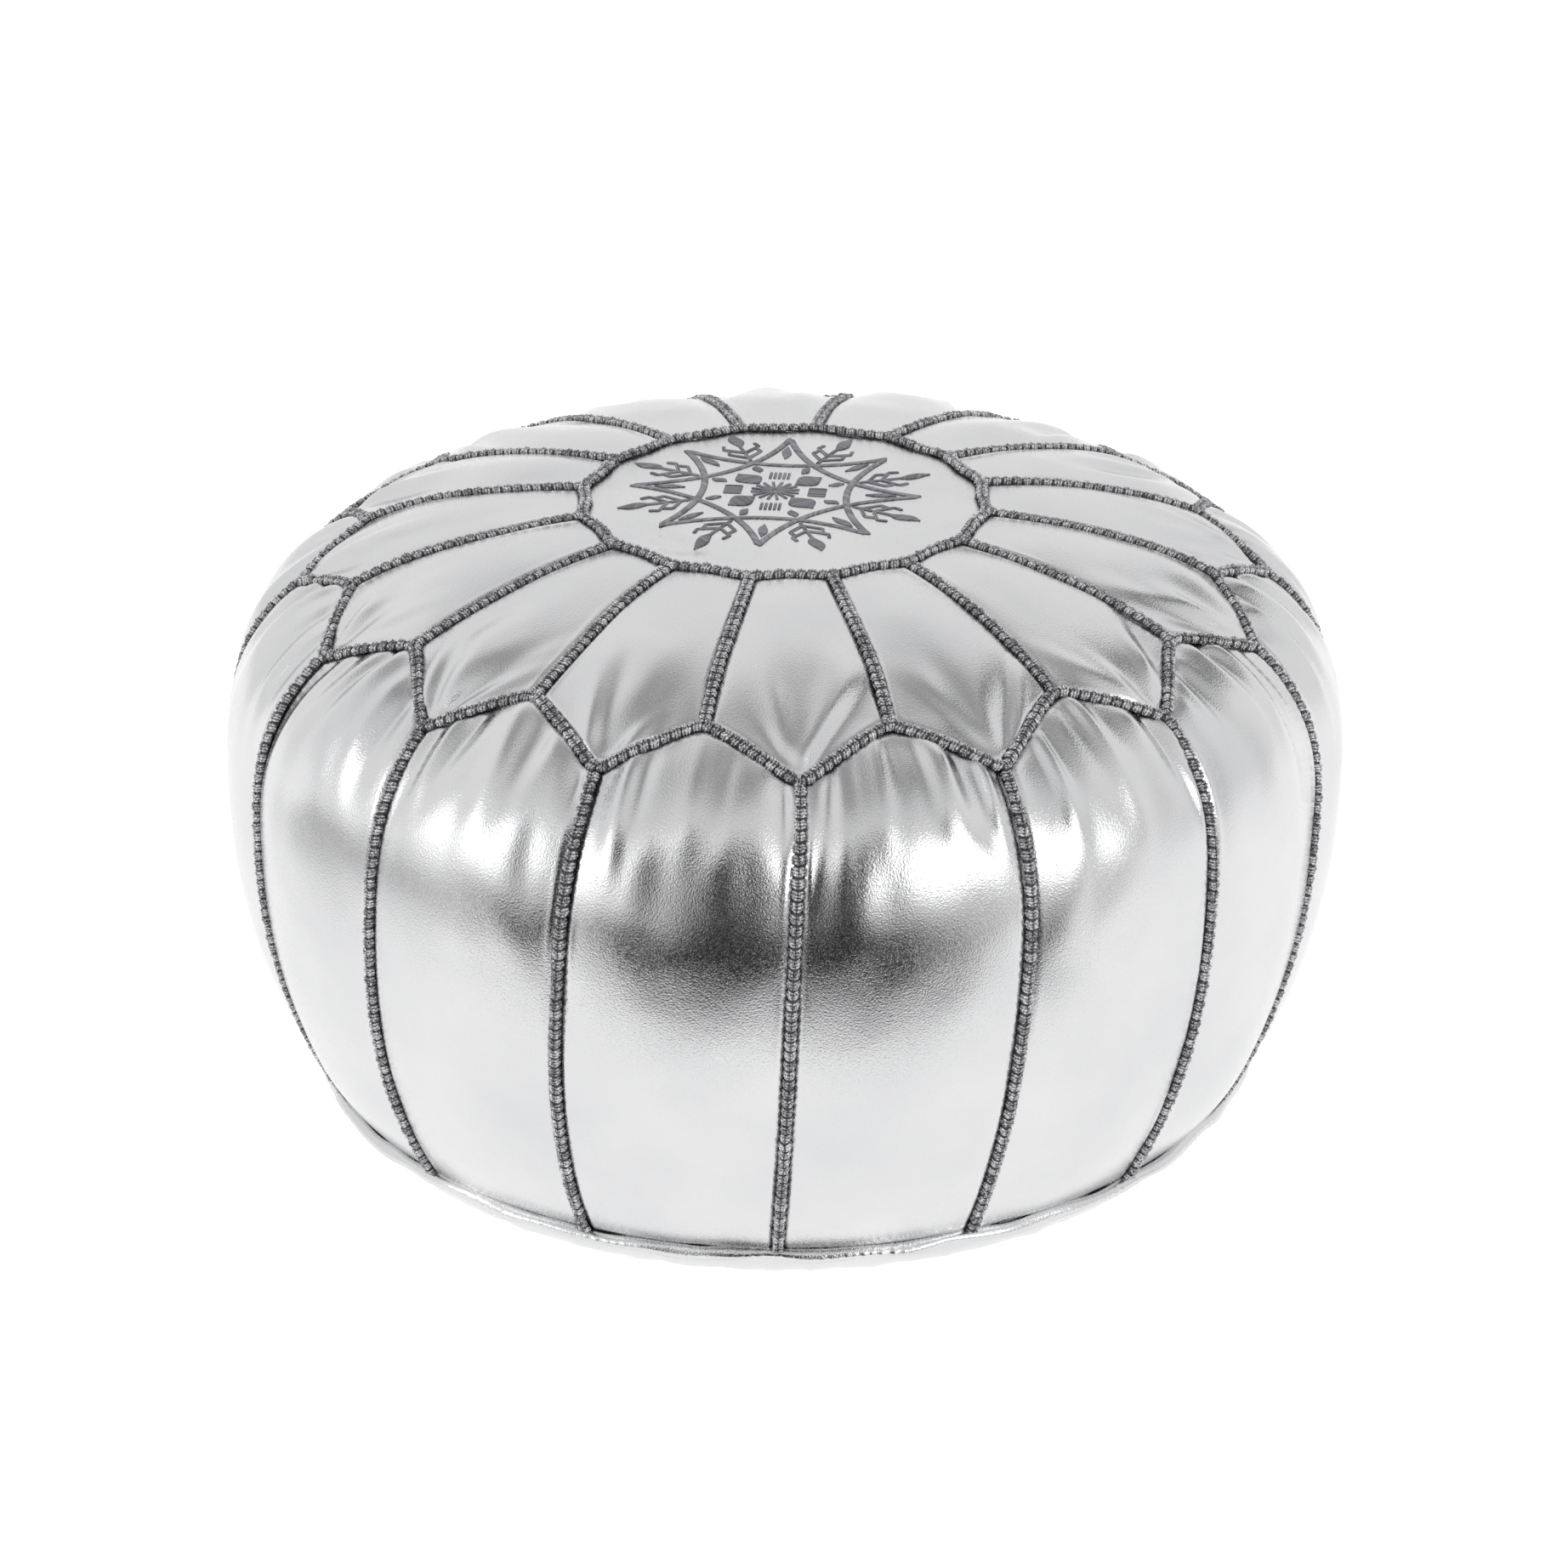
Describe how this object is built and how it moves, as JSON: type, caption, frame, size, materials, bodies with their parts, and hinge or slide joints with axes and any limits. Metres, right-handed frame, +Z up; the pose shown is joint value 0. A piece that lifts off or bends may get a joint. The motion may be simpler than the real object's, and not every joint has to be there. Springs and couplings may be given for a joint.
{
  "type": "leather pouf",
  "caption": "Round stuffed leather pouf with petal panels round a medallion, braided seams, an embroidered star and a zip in the base.",
  "frame": {"origin": "centre of the base, on the surface the pouf stands on", "axes": "+Z up through the medallion; -Y is the front, where a side seam runs down; the zip lies along X under the base, closed end at +X"},
  "size_m": [0.5488, 0.5488, 0.3039],
  "materials": {
    "silver_leather": "metallic silver foil on goat leather, fine grain, satin shine",
    "braid_thread": "thick dark grey thread with a slight silky shine",
    "stuffing": "loose cotton, matte",
    "zip_tape": "woven tape, matte",
    "zip_metal": "satin"
  },
  "bodies": {
    "cover": {"medallion": "silver_leather", "top_petal_01": "silver_leather", "top_petal_02": "silver_leather", "top_petal_03": "silver_leather", "top_petal_04": "silver_leather", "top_petal_05": "silver_leather", "top_petal_06": "silver_leather", "top_petal_07": "silver_leather", "top_petal_08": "silver_leather", "top_petal_09": "silver_leather", "top_petal_10": "silver_leather", "top_petal_11": "silver_leather", "top_petal_12": "silver_leather", "top_petal_13": "silver_leather", "top_petal_14": "silver_leather", "top_petal_15": "silver_leather", "top_petal_16": "silver_leather", "side_panel_01": "silver_leather", "side_panel_02": "silver_leather", "side_panel_03": "silver_leather", "side_panel_04": "silver_leather", "side_panel_05": "silver_leather", "side_panel_06": "silver_leather", "side_panel_07": "silver_leather", "side_panel_08": "silver_leather", "side_panel_09": "silver_leather", "side_panel_10": "silver_leather", "side_panel_11": "silver_leather", "side_panel_12": "silver_leather", "side_panel_13": "silver_leather", "side_panel_14": "silver_leather", "side_panel_15": "silver_leather", "side_panel_16": "silver_leather", "base_welt": "silver_leather", "base_front_half": "silver_leather", "base_rear_half": "silver_leather", "star_embroidery": "braid_thread", "top_braid": "braid_thread", "shoulder_braid": "braid_thread", "cotton_stuffing": "stuffing", "zip_tape_front": "zip_tape", "zip_tape_rear": "zip_tape", "zip_teeth_front": "zip_metal", "zip_teeth_rear": "zip_metal", "zip_stop_closed_end": "zip_metal", "zip_stop_open_end": "zip_metal"},
    "zip_slider": {"zip_slider": "zip_metal"},
    "zip_pull": {"zip_pull": "zip_metal"}
  },
  "joints": [
    {"name": "slider_slide", "type": "slide", "parent": "cover", "child": "zip_slider", "axis": [-1, 0, 0], "range_m": [0, 0.268]},
    {"name": "pull_swing", "type": "hinge", "parent": "zip_slider", "child": "zip_pull", "pos_m": [0.134, 0, 0.00785], "axis": [0, -1, 0], "range_deg": [0, 170]}
  ]
}
